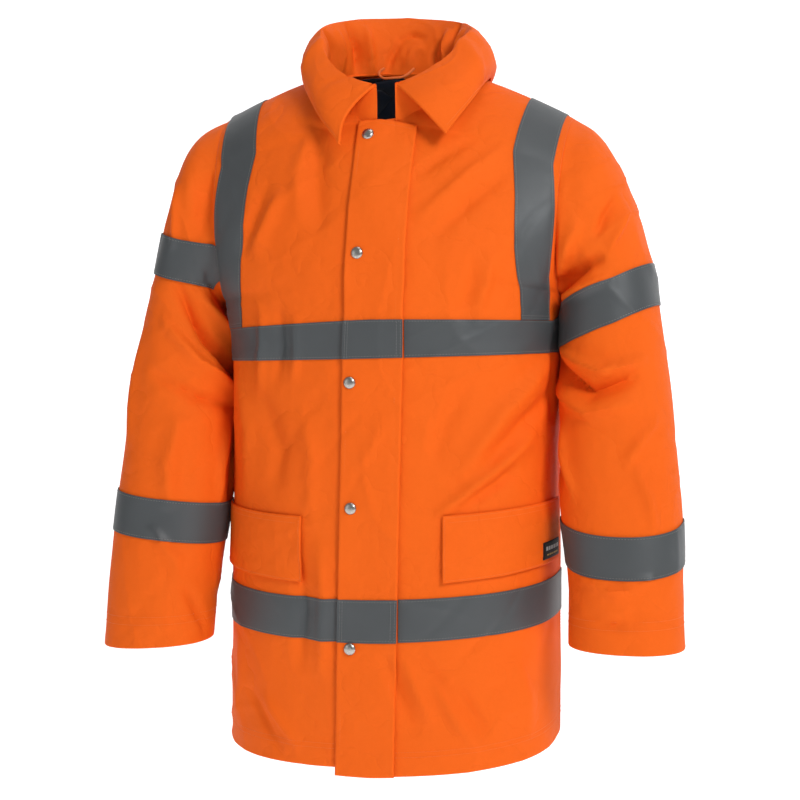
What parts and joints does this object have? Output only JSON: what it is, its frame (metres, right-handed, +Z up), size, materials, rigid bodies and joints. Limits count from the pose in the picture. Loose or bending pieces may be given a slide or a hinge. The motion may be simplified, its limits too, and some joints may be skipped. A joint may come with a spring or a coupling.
{
  "type": "hi-vis work jacket, filled out with no wearer",
  "caption": "Hip-length padded hi-vis coat with storm flap, fold-over collar, pocket flaps and reflective tapes, hollow as when worn.",
  "frame": {"origin": "middle of the neck opening, level with the high shoulder points, where the wearer's neck and shoulders hold the coat up", "axes": "+Z up, the front faces -Y, +X is the wearer's left"},
  "size_m": [0.727, 0.312, 0.9453],
  "materials": {
    "shell_cloth": "matt coated woven polyester, fluorescent orange",
    "reflective_tape": "grey retro-reflective tape, satin",
    "lining_cloth": "navy lining cloth, slight sheen",
    "label_weave": "black woven label",
    "stud_metal": "dull nickel press stud"
  },
  "bodies": {
    "root": {"back": "shell_cloth", "brace_left": "reflective_tape", "brace_right": "reflective_tape", "chest_tape_back": "reflective_tape", "chest_tape_flap": "reflective_tape", "chest_tape_left": "reflective_tape", "chest_tape_right": "reflective_tape", "collar_fall": "shell_cloth", "collar_stand": "shell_cloth", "flap_label": "label_weave", "hanging_loop": "shell_cloth", "hem_tape_back": "reflective_tape", "hem_tape_flap": "reflective_tape", "hem_tape_left": "reflective_tape", "hem_tape_right": "reflective_tape", "left_front": "shell_cloth", "left_sleeve": "shell_cloth", "lining_back": "lining_cloth", "lining_left": "lining_cloth", "lining_right": "lining_cloth", "pocket_flap_left": "shell_cloth", "pocket_flap_right": "shell_cloth", "right_front": "shell_cloth", "right_sleeve": "shell_cloth", "sleeve_tape_left_lower": "reflective_tape", "sleeve_tape_left_upper": "reflective_tape", "sleeve_tape_right_lower": "reflective_tape", "sleeve_tape_right_upper": "reflective_tape", "storm_flap": "shell_cloth", "stud_1": "stud_metal", "stud_2": "stud_metal", "stud_3": "stud_metal", "stud_4": "stud_metal", "stud_5": "stud_metal"}
  },
  "joints": []
}
